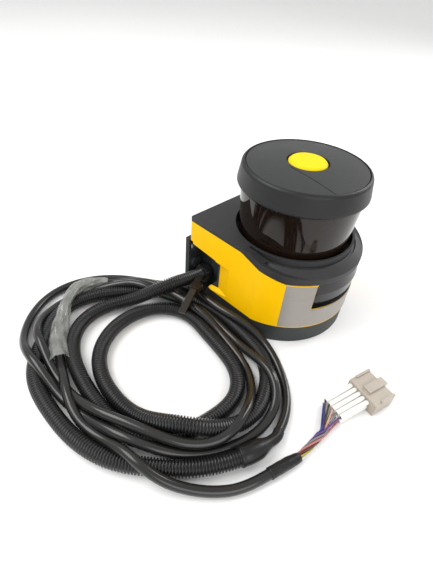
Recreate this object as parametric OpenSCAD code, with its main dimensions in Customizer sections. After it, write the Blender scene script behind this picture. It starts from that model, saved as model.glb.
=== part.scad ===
// Compact safety laser scanner with its coiled connection cable.
// Origin: centre of the standing face. +Z up, front of the scanner towards -Y, back towards +Y.

/* [Housing] */
// Width of the housing
body_w = 102; // [98:0.5:106]
// Depth of the housing without the connection plate
body_d = 105; // [103:0.5:109]
// Radius of the curved front
front_r = 53; // [52:0.5:56]
// Radius of the rear upright edges
back_corner_r = 2.5; // [1.5:0.5:4]
// Height of the lower housing strip
base_h = 15; // [13:0.5:17]
// Wall of the housing castings
wall = 3; // [2.5:0.25:3.5]
// How far the lower housing stands back from the shell
base_step = 0.6; // [0.3:0.1:1]
// Height of the shell's top edge at the sides and back
shell_top = 64.5; // [63:0.5:66]
// Height of the shell's top edge round the front
shell_front_top = 54; // [53:0.5:55]

/* [Front] */
// Thickness of the inlaid front label
label_t = 0.6; // [0.4:0.1:1]
// Angle from the front centre to the label's side edges
label_angle = 55; // [50:1:58]
// Angle from the front centre to the notch's left edge
notch_left = 31; // [26:1:36]
// Angle from the front centre to the notch's right edge
notch_right = 52; // [46:1:54]
// Height of the notch floor
notch_z = 32; // [30:0.5:36]
// Height of the edge between display strip and indicator band
strip_top = 44; // [42:0.5:47]

/* [Top cover] */
// Thickness of the rear top cover
cover_t = 3; // [2.5:0.25:4]
// Rim radius of the well round the optics cover
well_r = 41.6; // [41.4:0.1:42.4]
// Height of the collar's lip above the cover's well floor
lip_drop = 2.2; // [1.5:0.1:3]
// Height of the collar's outer edge round the front
collar_edge_z = 58; // [57:0.5:60]
// Width of the light lip round the well
lip_w = 1.7; // [1.2:0.1:2.2]
// Width of the groove outside the lip
groove_w = 1.6; // [1:0.2:2.2]
// Depth of the groove outside the lip
groove_depth = 1.6; // [1:0.2:2.4]

/* [Optics cover] */
// Outer radius of the optics cover at its foot
optics_foot_r = 38.4; // [37.6:0.2:38.8]
// Outer radius of the optics cover at its top
optics_top_r = 41.6; // [41:0.2:42.2]
// Wall of the optics cover
optics_wall = 2.5; // [2:0.25:3]
// Height of the well floor that carries the optics cover
well_floor_z = 58; // [57:0.5:60]

/* [Cap] */
// Height of the whole scanner
total_h = 116; // [115:0.25:118]
// Height of the cap's rim above the standing face
cap_rim_z = 113.5; // [113:0.25:114.25]
// Height of the cap's underside
cap_under_z = 98; // [96:0.25:99]
// Largest radius of the cap, near its lower edge
cap_r = 44.2; // [43.6:0.2:46]
// Radius of the cap at its upper edge
cap_upper_r = 42.6; // [42.4:0.2:43.4]
// Rounding of the cap's upper edge
cap_round = 3; // [1.5:0.25:3.5]
// Radius of the cap's top plate
plate_r = 39.6; // [38:0.2:39.8]
// Radius of the round button in the cap
button_r = 12; // [10:0.5:14]

/* [Rotor] */
// Radius of the rotating mirror's carrier
carrier_r = 17; // [14:0.5:18]
// Radius of the encoder disc
encoder_r = 26; // [24:0.5:28]
// Number of slots in the encoder disc
encoder_slots = 24; // [12:4:36]
// Radius of the motor shaft
shaft_r = 3; // [2.5:0.25:3.5]
// Thickness of the scan mirror
mirror_t = 2; // [1.5:0.25:3]

/* [Connection] */
// Height of the cable pocket's upper edge at the back
pocket_top = 48; // [46:0.5:49]
// Depth in Y of the cable pocket's opening
pocket_len = 28; // [25:0.5:29]
// Depth in X of the cable pocket
pocket_depth = 13; // [11:0.5:14]
// Thickness of the rear connection plate
plate_t = 4; // [3:0.25:5]
// Width between the rear mounting threads
mount_w = 90; // [88:1:92]
// Core radius of the mounting threads
mount_hole_r = 2.1; // [1.7:0.1:2.5]
// Radius of the gland's round body
gland_r = 7; // [6.5:0.25:7.5]

/* [Cable] */
// Diameter of the corrugated conduit
conduit_d = 10; // [9:0.25:10.25]
// Diameter of the sheathed cable
cable_d = 6; // [5.5:0.25:6.5]

/* [Hidden] */
$fn = 96;

// Running and seating clearances
clear = 0.2;
slit = 0.4;
run = 0.05;

side_x = body_w / 2;
front_y = -body_d / 2;
back_y = body_d / 2;
plate_y = back_y + plate_t;
// Centre of the curved front, and axis of the optics
front_cy = front_y + front_r;
axis_y = front_y + side_x;
cover_z = shell_top + cover_t;
lip_z = cover_z - lip_drop;

// Side profile of the parting edge between shell and covers
slope_back_y = axis_y + 4;
slope_front_y = axis_y - 29;
// Side profile of the collar's upper edge
crease_back_y = axis_y - 3.5;
crease_front_y = axis_y - 26;
crease_z = collar_edge_z + 2.5;
parting_y = axis_y + 2.4;

// Outline of the housing seen from above, set in by d
module plan(d = 0, r = back_corner_r) {
    // Shoulders beside a front narrower than the housing are set in too
    sides_y = front_r < side_x ? front_cy + d : front_cy;
    intersection() {
        union() {
            translate([0, front_cy]) circle(r = front_r - d);
            translate([-side_x + d, sides_y]) square([body_w - 2 * d, back_y - d - r - sides_y]);
            translate([-side_x + d + r, sides_y]) square([body_w - 2 * (d + r), back_y - d - sides_y]);
            for (s = [-1, 1]) translate([s * (side_x - d - r), back_y - d - r]) circle(r = r, $fn = 32);
        }
        translate([-side_x + d, front_y]) square([body_w - 2 * d, body_d]);
    }
}

module slab(z0, z1, d = 0, r = back_corner_r) {
    translate([0, 0, z0]) linear_extrude(z1 - z0) plan(d, r);
}

// Everything below a line of [y, z] points, across the whole width
module below(points) {
    n = len(points) - 1;
    rotate([90, 0, 90]) translate([0, 0, -body_w]) linear_extrude(2 * body_w)
        polygon(concat([[points[0][0], -1]], points, [[points[n][0], -1]]));
}

module below_shell_edge(lift = 0) {
    below([[front_y - 20, shell_front_top + lift], [slope_front_y, shell_front_top + lift],
        [slope_back_y, shell_top + lift], [back_y + 20, shell_top + lift]]);
}

module below_cover_top() {
    below([[front_y - 20, collar_edge_z], [front_y, collar_edge_z], [crease_front_y, crease_z],
        [crease_back_y, cover_z], [back_y + 20, cover_z]]);
}

// Sector about the optics axis, from angle a to b right of the front centre
module sector(a, b, z0, z1, reach = 80) {
    steps = 8;
    translate([0, axis_y, z0]) linear_extrude(z1 - z0) polygon(concat([[0, 0]],
        [for (i = [0 : steps]) let(t = a + (b - a) * i / steps) reach * [sin(t), -cos(t)]]));
}

module about_axis() translate([0, axis_y, 0]) children();

module tube(r, r_in, z0, z1) {
    translate([0, 0, z0]) difference() {
        cylinder(r = r, h = z1 - z0);
        translate([0, 0, -1]) cylinder(r = r_in, h = z1 - z0 + 2);
    }
}

// ---- Cable pocket's place ----
pocket_y = back_y - pocket_len;
pocket_x = -side_x + pocket_depth;
liner_t = 2;

// ---- Fixing points of the castings ----
boss_r = 4.5;
screw_r = 1.5;
head_r = 2.8;
head_h = 2;
post_h = 5;
// A boss's screw head just clears the wall beside it
boss_in = wall + head_r + clear;
front_boss_x = min(side_x, front_r) - 10;
front_boss_y = front_cy - sqrt(pow(front_r - boss_in, 2) - pow(front_boss_x, 2));
// The boss beside the cable pocket stands further forward than its twin
bosses = [[-front_boss_x, front_boss_y], [front_boss_x, front_boss_y],
    [side_x - boss_in, back_y - boss_in], [-side_x + boss_in + 2, pocket_y - 10]];
// Deck that carries the motor, held on the shell's bosses
deck_z = shell_front_top - 5;
deck_t = 3;

// ---- Cable pocket ----
pocket_z = base_h - 8;
pocket_front_top = pocket_top - 3.6;
pocket_step_z = base_h + 9;
pocket_foot_y = pocket_y + 7;
gland_y = back_y - 9.5;
gland_z = base_h + 3;

// Side view of the pocket's mouth, as a prism between two values of x
module pocket_mouth(x0, x1, grow = 0) {
    rotate([90, 0, 90]) translate([0, 0, x0]) linear_extrude(x1 - x0) polygon([
        [pocket_y - grow, pocket_step_z], [pocket_y - grow, pocket_front_top + grow],
        [back_y + 20, pocket_top + grow], [back_y + 20, pocket_z - grow],
        [pocket_foot_y + 2, pocket_z - grow], [pocket_foot_y - grow, base_h - 1]]);
}

// Shallow grip in the housing's side, running in towards the back
scoop_y = pocket_y - 13.5;
scoop_angle = 16;
scoop_z0 = base_h + 3.6;
scoop_z1 = pocket_front_top - 1;
scoop_depth = 6;
module scoop() {
    n = 10;
    translate([-side_x, scoop_y, 0]) rotate([0, 0, -scoop_angle]) translate([-n, 0, 0])
        rotate([90, 0, 0]) mirror([0, 0, 1]) linear_extrude(3 * n)
        polygon([[0, base_h - 1], [n - scoop_depth, base_h - 1], [n, scoop_z0], [n, scoop_z1], [0, scoop_z1 + 0.8]]);
}

// ---- Housing ----
module lower_housing() {
    color([0.17, 0.17, 0.18]) difference() {
        union() {
            difference() {
                slab(0, base_h, base_step);
                slab(wall, base_h + 1, wall + base_step, 1);
            }
            intersection() {
                slab(0, base_h, base_step);
                for (b = bosses) translate([b.x, b.y, 0]) cylinder(r = boss_r, h = base_h, $fn = 48);
            }
            for (p = board_posts) translate([p.x, p.y, 0]) cylinder(r = 3, h = board_z, $fn = 32);
            // Floor of the cable pocket
            intersection() {
                slab(0, pocket_z, base_step);
                translate([-side_x, pocket_foot_y, 0]) cube([pocket_depth, pocket_len, pocket_z]);
            }
        }
        pocket_mouth(-side_x - 1, pocket_x);
        for (b = bosses) translate([b.x, b.y, -1]) {
            cylinder(r = screw_r + clear, h = base_h + 2, $fn = 32);
            cylinder(r = head_r + clear, h = head_h + 1.5, $fn = 32);
        }
        for (p = board_posts) translate([p.x, p.y, wall]) cylinder(r = 1.2, h = board_z, $fn = 24);
        // Relief round the standing face
        translate([0, 0, -1]) difference() {
            slab(0, 1.6, 8, 2);
            slab(-1, 3, 26, 2);
        }
    }
}

notch_reach = wall + 6;
module notch_room(grow = 0) {
    difference() {
        sector(-notch_left - grow, notch_right + grow, notch_z - grow, shell_front_top + slit);
        about_axis() translate([0, 0, notch_z - 10]) cylinder(r = side_x - notch_reach, h = 60);
    }
}

module label_room(t) {
    intersection() {
        difference() {
            slab(base_h + 0.6, shell_front_top - 0.6);
            slab(base_h, shell_front_top, t);
        }
        sector(-label_angle, label_angle, base_h, shell_front_top);
    }
}

module housing_shell() {
    color([0.94, 0.75, 0.02]) difference() {
        intersection() {
            slab(base_h, shell_top);
            below_shell_edge();
        }
        difference() {
            slab(base_h - 1, shell_top + 1, wall, 1);
            // Bosses for the deck and the base screws
            for (b = bosses) translate([b.x, b.y, base_h - 2]) cylinder(r = boss_r, h = deck_z - base_h + 2, $fn = 48);
            // Wall behind the side grip
            translate([-side_x, scoop_y - 3, base_h - 2])
                cube([wall + 7, pocket_y - liner_t - clear - scoop_y + 3, deck_z - base_h + 2]);
        }
        scoop();
        pocket_mouth(-side_x - 1, pocket_x + 1);
        // The connection block fills the back below the shell's rear band
        translate([-side_x - 1, back_y - wall - 1, base_h - 1]) cube([body_w + 2, wall + 8, pocket_top - base_h + 1]);
        notch_room();
        label_room(label_t);
        for (b = bosses) translate([b.x, b.y, base_h - 1]) cylinder(r = screw_r - 0.25, h = 12, $fn = 32);
        for (b = bosses) translate([b.x, b.y, deck_z - 10]) cylinder(r = screw_r - 0.25, h = 11, $fn = 32);
    }
}

module front_label() {
    color([0.62, 0.6, 0.58]) difference() {
        label_room(label_t);
        notch_room(0.6);
    }
}

// ---- Top covers ----
module covers() {
    difference() {
        intersection() {
            union() {
                difference() {
                    intersection() {
                        slab(shell_front_top, cover_z);
                        below_cover_top();
                    }
                    slab(shell_front_top - 1, cover_z - cover_t, wall + clear, 1);
                }
                // Raised collar falling away from the lip to the outer edge
                about_axis() rotate_extrude() polygon([[well_r - wall, well_floor_z - wall], [side_x + 1, well_floor_z - wall],
                    [side_x + 1, collar_edge_z], [well_r, lip_z], [well_r - wall, lip_z]]);
                about_axis() tube(well_r + wall, optics_foot_r - 6, well_floor_z - wall, cover_z);
            }
            slab(0, cover_z);
        }
        // Outside the shell the covers end just above its edge
        difference() {
            below_shell_edge(slit);
            slab(0, cover_z, wall + clear, 1);
        }
        // The well and the seat under the optics cover
        about_axis() translate([0, 0, well_floor_z]) cylinder(r = well_r, h = 20);
        about_axis() translate([0, 0, -1]) cylinder(r = optics_foot_r - 5, h = cover_z);
    }
}

// Grooves and seams of the collar
module collar_grooves() {
    g = (lip_z - collar_edge_z) / (side_x - well_r);
    a = well_r + lip_w;
    b = a + groove_w;
    about_axis() rotate_extrude() polygon([[a, lip_z - lip_w * g - groove_depth], [b, lip_z - (lip_w + groove_w) * g - groove_depth / 2],
        [b + 0.8, cover_z + 1], [a, cover_z + 1]]);
    for (t = [-8, 15, 38]) about_axis() rotate([0, 0, t]) translate([-0.15, -side_x - 2, collar_edge_z - 1])
        rotate([atan(g), 0, 0]) translate([0, 0, 0.4]) cube([0.3, side_x - well_r - lip_w + 1, 12]);
}

module rear_cover() {
    color([0.2, 0.2, 0.2]) intersection() {
        covers();
        translate([-body_w, parting_y + clear / 2, 0]) cube([2 * body_w, body_d, cover_z + 1]);
    }
}

module front_collar() {
    color([0.22, 0.22, 0.23]) difference() {
        intersection() {
            covers();
            translate([-body_w, parting_y - clear / 2 - body_d, 0]) cube([2 * body_w, body_d, cover_z + 1]);
        }
        collar_grooves();
    }
}

// ---- Front display ----
strip_shift = 3;
strip_r = side_x - 1.5;
module front_arc(r0, r1, z0, z1, shift = 0) {
    intersection() {
        translate([shift, axis_y, 0]) tube(r0, r1, z0, z1);
        sector(-notch_left + 0.4, notch_right - 0.4, z0 - 1, z1 + 1);
    }
}

module display_strip() {
    color([0.1, 0.1, 0.1]) intersection() {
        front_arc(strip_r, strip_r - 7, notch_z + clear, strip_top, strip_shift);
        about_axis() tube(side_x + 1.2, side_x - notch_reach + clear, notch_z, strip_top);
    }
}

module indicator_band() {
    color([0.3, 0.3, 0.31]) intersection() {
        about_axis() rotate_extrude() polygon([[side_x - notch_reach + clear, strip_top + clear], [side_x + 0.4, strip_top + clear],
            [side_x + 0.4, strip_top + 1.5], [side_x - 2.2, shell_front_top + slit - clear],
            [side_x - notch_reach + clear, shell_front_top + slit - clear]]);
        sector(-notch_left + 0.4, notch_right - 0.4, strip_top - 1, shell_front_top + 2);
    }
}

// ---- Optics cover and cap ----
seal_t = 2;
optics_z = well_floor_z + seal_t;
module optics_seal() {
    color([0.05, 0.05, 0.05]) about_axis()
        tube(optics_foot_r + 0.8, optics_foot_r - optics_wall - 0.8, well_floor_z, optics_z);
}

module optics_cover() {
    color([0.06, 0.05, 0.05]) about_axis() translate([0, 0, optics_z]) rotate_extrude() polygon([
        [optics_foot_r - optics_wall, 0], [optics_foot_r, 0], [optics_top_r, cap_under_z - optics_z],
        [optics_top_r - optics_wall, cap_under_z - optics_z]]);
}

plate_edge_z = cap_rim_z - 0.4;
well_button_r = button_r + 2;
plate_groove = 0.6;
cap_roof = 5;
dome_h = total_h - 0.5 - plate_edge_z;
module cap() {
    color([0.17, 0.17, 0.18]) about_axis() difference() {
        rotate_extrude() {
            polygon([[0, cap_under_z], [cap_r - 2, cap_under_z], [cap_r, cap_under_z + 2], [cap_r, cap_under_z + 3],
                [cap_upper_r, cap_rim_z - cap_round], [cap_upper_r - cap_round, cap_rim_z], [0, cap_rim_z]]);
            intersection() {
                translate([cap_upper_r - cap_round, cap_rim_z - cap_round]) circle(r = cap_round, $fn = 48);
                square([cap_r + 1, cap_rim_z]);
            }
        }
        // Hollow for the receiver electronics, open below inside the optics cover
        translate([0, 0, cap_under_z - 1]) cylinder(r = optics_top_r - optics_wall - 3, h = cap_rim_z - cap_roof - cap_under_z + 1);
        // Seat of the top plate
        translate([0, 0, cap_rim_z - 2]) cylinder(r = plate_r + plate_groove, h = 5);
    }
}

seam_x = -16;
module cap_plate() {
    color([0.3, 0.3, 0.3]) about_axis() difference() {
        rotate_extrude() polygon(concat([[0, cap_rim_z - 2], [plate_r, cap_rim_z - 2]],
            [for (i = [0 : 5]) let(r = plate_r * (5 - i) / 5) [r, plate_edge_z + dome_h * (1 - pow(r / plate_r, 2))]]));
        translate([0, 0, cap_rim_z - 1]) cylinder(r = well_button_r, h = 10);
        // Seam from the button's well to the front rim
        rotate([0, 0, 84]) translate([-plate_r - 1, -0.35, plate_edge_z - 0.4]) rotate([0, 0, 0])
            translate([0, -seam_x, 0]) cube([plate_r + 3, 0.7, 4]);
    }
}

module cap_button() {
    color([0.99, 0.93, 0.08]) about_axis() rotate_extrude() polygon([[0, cap_rim_z - 1], [button_r + 0.8, cap_rim_z - 1],
        [button_r + 0.8, total_h - 1.4], [button_r, total_h - 0.5], [button_r - 0.6, total_h], [0, total_h]]);
}

// ---- Scanning mechanism ----
motor_r = 21;
motor_h = 12;
motor_z = deck_z + deck_t;
hub_z = motor_z + motor_h + 1.5;
carrier_z = hub_z + 5;
lens_r = 12;
// The mirror's seat stands as high as the lens barrel allows
seat_z = cap_under_z - 1 - (lens_r + 2) - 1.5 * mirror_t - 1.5;
carrier_top = seat_z + carrier_r - 3;
shaft_top = seat_z - shaft_r - 1.5;
module optics_frame() {
    color([0.6, 0.6, 0.62]) difference() {
        intersection() {
            slab(deck_z, deck_z + deck_t, wall + clear, 1);
            union() {
                about_axis() cylinder(r = side_x - notch_reach - clear, h = total_h);
                translate([-side_x, bosses[0].y - 2, 0]) cube([body_w, body_d, total_h]);
                for (b = bosses) translate([b.x, b.y, 0]) cylinder(r = boss_r, h = total_h, $fn = 48);
            }
        }
        about_axis() translate([0, 0, deck_z - 1]) cylinder(r = shaft_r + 4, h = deck_t + 2);
        for (b = bosses) translate([b.x, b.y, deck_z - 1]) cylinder(r = screw_r + clear, h = deck_t + 2, $fn = 32);
    }
}

module frame_screws() {
    color([0.75, 0.75, 0.76]) for (b = bosses) translate([b.x, b.y, 0]) {
        translate([0, 0, motor_z]) cylinder(r = head_r, h = head_h, $fn = 32);
        translate([0, 0, motor_z - 8]) cylinder(r = screw_r - 0.3, h = 8.5, $fn = 32);
    }
}

module motor_housing() {
    color([0.5, 0.5, 0.52]) about_axis() difference() {
        union() {
            translate([0, 0, motor_z]) cylinder(r = motor_r + 3, h = 2);
            translate([0, 0, motor_z]) cylinder(r = motor_r, h = motor_h - 1.5);
            translate([0, 0, motor_z]) cylinder(r = motor_r - 2, h = motor_h);
        }
        translate([0, 0, motor_z - 1]) cylinder(r = shaft_r + run, h = motor_h + 2);
    }
}

module motor_shaft() {
    color([0.8, 0.8, 0.82]) about_axis() translate([0, 0, deck_z - 4]) cylinder(r = shaft_r, h = shaft_top - deck_z + 4);
}

module rotor_hub() {
    color([0.55, 0.55, 0.58]) about_axis() difference() {
        union() {
            translate([0, 0, hub_z]) cylinder(r = carrier_r - 2, h = 2);
            translate([0, 0, hub_z]) cylinder(r = carrier_r - 6, h = carrier_z - hub_z);
        }
        translate([0, 0, hub_z - 1]) cylinder(r = shaft_r, h = 12);
    }
}

module encoder_disc() {
    color([0.85, 0.85, 0.87]) about_axis() difference() {
        tube(encoder_r, carrier_r - 6, hub_z + 2, hub_z + 3);
        for (i = [0 : encoder_slots - 1]) rotate([0, 0, i * 360 / encoder_slots])
            translate([encoder_r - 4, -1, hub_z + 1]) cube([2.5, 2, 4]);
    }
}

module encoder_reader() {
    color([0.08, 0.08, 0.09]) about_axis() difference() {
        translate([encoder_r - 5, -5, motor_z]) cube([8.5, 10, hub_z - motor_z + 6]);
        translate([0, 0, hub_z + 1]) cylinder(r = encoder_r + 1, h = 3);
        translate([0, 0, hub_z - 1]) cylinder(r = encoder_r - 4.5, h = 10);
        translate([0, 0, motor_z - 1]) cylinder(r = motor_r + 3 + clear, h = 20);
    }
}

module mirror_carrier() {
    color([0.12, 0.12, 0.13]) about_axis() difference() {
        translate([0, 0, carrier_z]) cylinder(r = carrier_r, h = carrier_top - carrier_z);
        translate([0, 0, carrier_z - 1]) cylinder(r = shaft_r, h = shaft_top - carrier_z + 1);
        // Slanting seat of the mirror
        translate([0, 0, seat_z]) rotate([45, 0, 0]) translate([-side_x, -side_x, 0]) cube(body_w);
        // Balancing pocket behind the seat
        translate([-6, carrier_r - 5, carrier_z + 3]) cube([12, 10, 6]);
    }
}

module scan_mirror() {
    color([0.9, 0.92, 0.95]) about_axis() intersection() {
        translate([0, 0, seat_z]) rotate([45, 0, 0]) translate([-side_x, -side_x, 0]) cube([body_w, body_w, mirror_t]);
        translate([0, 0, carrier_z]) cylinder(r = carrier_r - 1, h = cap_under_z - carrier_z);
    }
}

// ---- Receiver in the cap ----
cap_hollow_r = optics_top_r - optics_wall - 3;
cap_hollow_z = cap_rim_z - cap_roof;
barrel_z = cap_under_z - 1;
module lens_barrel() {
    color([0.1, 0.1, 0.1]) about_axis() difference() {
        union() {
            translate([0, 0, barrel_z]) cylinder(r = lens_r + 2, h = cap_hollow_z - barrel_z);
            translate([0, 0, cap_hollow_z - 2]) cylinder(r = cap_hollow_r - 1, h = 2);
        }
        translate([0, 0, barrel_z - 1]) cylinder(r = lens_r - 1.5, h = 20);
        translate([0, 0, barrel_z - 1]) cylinder(r = lens_r, h = 5);
    }
}

module receiver_lens() {
    color([0.6, 0.7, 0.75]) about_axis() rotate_extrude() polygon([[0, barrel_z - 1.2], [lens_r * 0.4, barrel_z - 0.9],
        [lens_r * 0.75, barrel_z - 0.2], [lens_r, barrel_z + 1], [lens_r, barrel_z + 4], [0, barrel_z + 4]]);
}

module detector_board() {
    color([0.05, 0.3, 0.15]) about_axis() tube(cap_hollow_r - 4, lens_r + 2, cap_hollow_z - 3.6, cap_hollow_z - 2);
}

// ---- Electronics and connection ----
board_z = base_h + 7;
board_t = 1.6;
block_d = 12;
block_z0 = wall + clear;
block_y = back_y - block_d;
board_x0 = pocket_x + liner_t + 3;
board_x1 = side_x - wall - 4;
board_y1 = block_y - 2;
board_posts = [[board_x0 + 7, front_cy - front_r + 19], [board_x1 - 18, front_cy - front_r + 19],
    [board_x0 + 7, board_y1 - 6], [board_x1 - 8, board_y1 - 6]];
module main_board() {
    color([0.05, 0.3, 0.15]) difference() {
        intersection() {
            translate([board_x0, front_y, board_z]) cube([board_x1 - board_x0, board_y1 - front_y, board_t]);
            slab(board_z, board_z + board_t, wall + 5, 1);
        }
        for (p = board_posts) translate([p.x, p.y, board_z - 1]) cylinder(r = 1.6, h = board_t + 2, $fn = 24);
        for (b = bosses) translate([b.x, b.y, board_z - 1]) cylinder(r = boss_r + slit, h = board_t + 2, $fn = 48);
    }
}

module board_connectors() {
    color([0.9, 0.9, 0.86]) {
        for (x = [board_x0 + 19, board_x1 - 32]) translate([x, board_y1 - 10, board_z + board_t]) difference() {
            cube([20, 7, 8]);
            translate([1, 1, 2]) cube([18, 5, 7]);
        }
        translate([board_x0 + 9, axis_y - 18, board_z + board_t]) cube([18, 18, 2]);
    }
}

// Grey moulded wall behind the cable pocket, rounded towards the side
liner_x = pocket_x + liner_t;
liner_z = pocket_top + 1;
liner_in = wall + base_step + clear;
module pocket_liner() {
    color([0.22, 0.22, 0.22]) difference() {
        translate([-side_x + liner_in, pocket_y - liner_t, pocket_z])
            cube([pocket_depth - liner_in + liner_t, block_y - pocket_y + liner_t, liner_z - pocket_z]);
        // The pocket itself, with a round inner corner
        difference() {
            pocket_mouth(-side_x - 1, pocket_x);
            translate([pocket_x - 7, pocket_y - 1, pocket_z - 1]) difference() {
                cube([8, 8, liner_z]);
                translate([0, 8, 0]) cylinder(r = 7, h = liner_z, $fn = 48);
            }
        }
        translate([-side_x, pocket_y - liner_t - 1, pocket_z - 1]) cube([pocket_depth + liner_t, liner_t + 3, base_h - pocket_z + 1]);
        translate([0, gland_y, gland_z]) rotate([0, -90, 0]) cylinder(r = gland_thread_r + clear, h = side_x, $fn = 48);
    }
}

module connection_block() {
    color([0.2, 0.2, 0.21]) difference() {
        union() {
            translate([pocket_x + 0, block_y, block_z0]) cube([side_x - wall - clear - base_step - pocket_x, block_d - wall - base_step - clear, base_h - block_z0 + 1]);
            translate([pocket_x, block_y, base_h + clear]) cube([side_x - wall - clear - pocket_x, block_d, pocket_top - base_h - 2 * clear]);
        }
        for (b = bosses) translate([b.x, b.y, 0]) cylinder(r = boss_r + clear, h = total_h, $fn = 48);
        translate([pocket_x - 1, gland_y, gland_z]) rotate([0, 90, 0]) cylinder(r = gland_thread_r, h = liner_t + 4, $fn = 48);
        for (p = plate_fix) translate([p.x, back_y + 1, p.y]) rotate([90, 0, 0]) cylinder(r = screw_r - 0.3, h = 8, $fn = 32);
        for (x = [-1, 1]) translate([x * mount_w / 2, back_y + 1, mount_z]) rotate([90, 0, 0]) cylinder(r = mount_boss_r + clear, h = 5, $fn = 48);
        for (x = [-1, 1]) translate([x * slot_x - slot_w, back_y - 5, slot_z - clear]) cube([2 * slot_w, 6, slot_h + 2 * clear]);
    }
}

// Threads for a bracket, blind from the back, and slots above them
mount_z = base_h + 10;
mount_boss_r = 4.5;
mount_boss_h = 2.5;
slot_w = 4;
slot_h = 7;
slot_x = side_x - 2.5 - slot_w / 2;
slot_z = mount_z + 10;
plate_z0 = 5;
module connection_plate() {
    color([0.2, 0.2, 0.21]) difference() {
        union() {
            translate([-side_x, back_y, plate_z0]) cube([body_w, plate_t, pocket_top - plate_z0 - clear]);
            for (x = [-1, 1]) translate([x * mount_w / 2, back_y + 0.5, mount_z]) rotate([90, 0, 0])
                cylinder(r = mount_boss_r, h = mount_boss_h + 0.5, $fn = 48);
        }
        for (x = [-1, 1]) translate([x * mount_w / 2, plate_y + 1, mount_z]) rotate([90, 0, 0])
            cylinder(r = mount_hole_r, h = plate_t + mount_boss_h, $fn = 48);
        for (x = [-1, 1]) translate([x * slot_x - slot_w / 2, back_y - 1, slot_z]) cube([slot_w, plate_t + 2, slot_h]);
        for (p = plate_fix) translate([p.x, plate_y + 1, p.y]) rotate([90, 0, 0]) {
            cylinder(r = screw_r + clear, h = plate_t + 2, $fn = 32);
            cylinder(r = head_r + clear, h = head_h + 1, $fn = 32);
        }
    }
}

plate_fix = [[-28, base_h + 3], [28, base_h + 3], [-28, pocket_top - 8], [28, pocket_top - 8]];
module plate_screws() {
    color([0.75, 0.75, 0.76]) for (p = plate_fix) translate([p.x, plate_y, p.y]) rotate([90, 0, 0]) {
        cylinder(r = head_r, h = head_h, $fn = 32);
        cylinder(r = screw_r - 0.3, h = plate_t + 6, $fn = 32);
    }
}

module base_screws() {
    color([0.75, 0.75, 0.76]) for (b = bosses) translate([b.x, b.y, 0.5]) {
        cylinder(r = head_r, h = head_h, $fn = 32);
        cylinder(r = screw_r - 0.3, h = base_h + 8, $fn = 32);
    }
}

// ---- Cable gland ----
gland_thread_r = 5;
gland_len = 9;
module cable_gland() {
    color([0.08, 0.08, 0.08]) translate([pocket_x, gland_y, gland_z]) rotate([0, -90, 0]) difference() {
        union() {
            translate([0, 0, -liner_t - 2]) cylinder(r = gland_thread_r, h = liner_t + 3, $fn = 48);
            cylinder(r = gland_r - 0.5, h = 3, $fn = 48);
            cylinder(r = gland_r - 1, h = gland_len, $fn = 48);
        }
        translate([0, 0, -liner_t - 4]) cylinder(r = cable_d / 2, h = gland_len, $fn = 48);
        translate([0, 0, 2]) cylinder(r = conduit_d / 2, h = gland_len, $fn = 48);
    }
}

module gland_nut() {
    color([0.1, 0.1, 0.1]) translate([pocket_x - 3.2, gland_y, gland_z]) rotate([0, -90, 0]) difference() {
        union() {
            cylinder(r = gland_r, h = 5, $fn = 48);
            for (i = [0 : 11]) rotate([0, 0, i * 30]) translate([gland_r - 0.6, -0.6, 0]) cube([1.1, 1.2, 5]);
        }
        translate([0, 0, -1]) cylinder(r = gland_r - 1, h = 7, $fn = 48);
    }
}

// ---- Cable: route points lie in the floor plane of the housing ----
lead_route = [[-40, gland_y, gland_z], [-47, gland_y, gland_z], [-54, gland_y, gland_z + 0.5], [-62, gland_y + 1, gland_z + 1.5]];
tail_route = [[-143, -87, 3.2], [-137, -89.5, 3.2], [-130, -91, 3.4], [-123, -92, 3.6], [-115, -94, 3.8]];
sleeve_route = [[-98, 104, 14], [-110, 106, 15], [-124, 103, 16], [-138, 96, 17], [-150, 86, 17], [-160, 74, 17], [-168, 60, 16], [-171, 50, 15]];
sleeve_r = [6, 7, 5.5, 3.6, 5, 7, 7.5, 8];
// Outer turns of the coil: x, y, height
coil_outer = [[-59, 42, 19], [-68, 66, 16], [-88, 97, 14], [-104, 106, 14], [-137, 114, 14], [-173, 86, 14],
    [-181, 56, 14], [-183, 28, 13], [-183, -8, 13], [-168, -42, 13], [-158, -66, 12], [-147, -80, 8],
    [-120, -80, 11], [-84, -72, 13], [-63, -48, 14], [-58, -22, 17], [-57.5, 10, 18], [-59, 30, 19]];
coil_outer_r = 6;
coil_inner = [[-94, 30], [-101, 36], [-121, 37], [-137, 28], [-145, 12], [-147, -6], [-140, -28], [-126, -44],
    [-112, -47], [-98, -44], [-88, -34], [-86, 0]];
coil_inner_r = 8;

function unit(v) = v / norm(v);
function along(p, i) = unit(p[min(i + 1, len(p) - 1)] - p[max(i - 1, 0)]);
function hoop(c, t, r, n) = let(s = unit(cross(t, [0, 0, 1])), u = cross(s, t))
    [for (k = [0 : n - 1]) c + r * (cos(360 * k / n) * s + sin(360 * k / n) * u)];

// Closed tube through the points p, with the radius r or a list of radii
module swept(p, r, n = 12) {
    m = len(p);
    points = [for (i = [0 : m - 1], q = hoop(p[i], along(p, i), is_list(r) ? r[i] : r, n)) q];
    sides = [for (i = [0 : m - 2], k = [0 : n - 1]) [i * n + k, i * n + (k + 1) % n, (i + 1) * n + (k + 1) % n, (i + 1) * n + k]];
    ends = [[for (k = [n - 1 : -1 : 0]) k], [for (k = [0 : n - 1]) (m - 1) * n + k]];
    polyhedron(points, concat(sides, ends));
}

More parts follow.
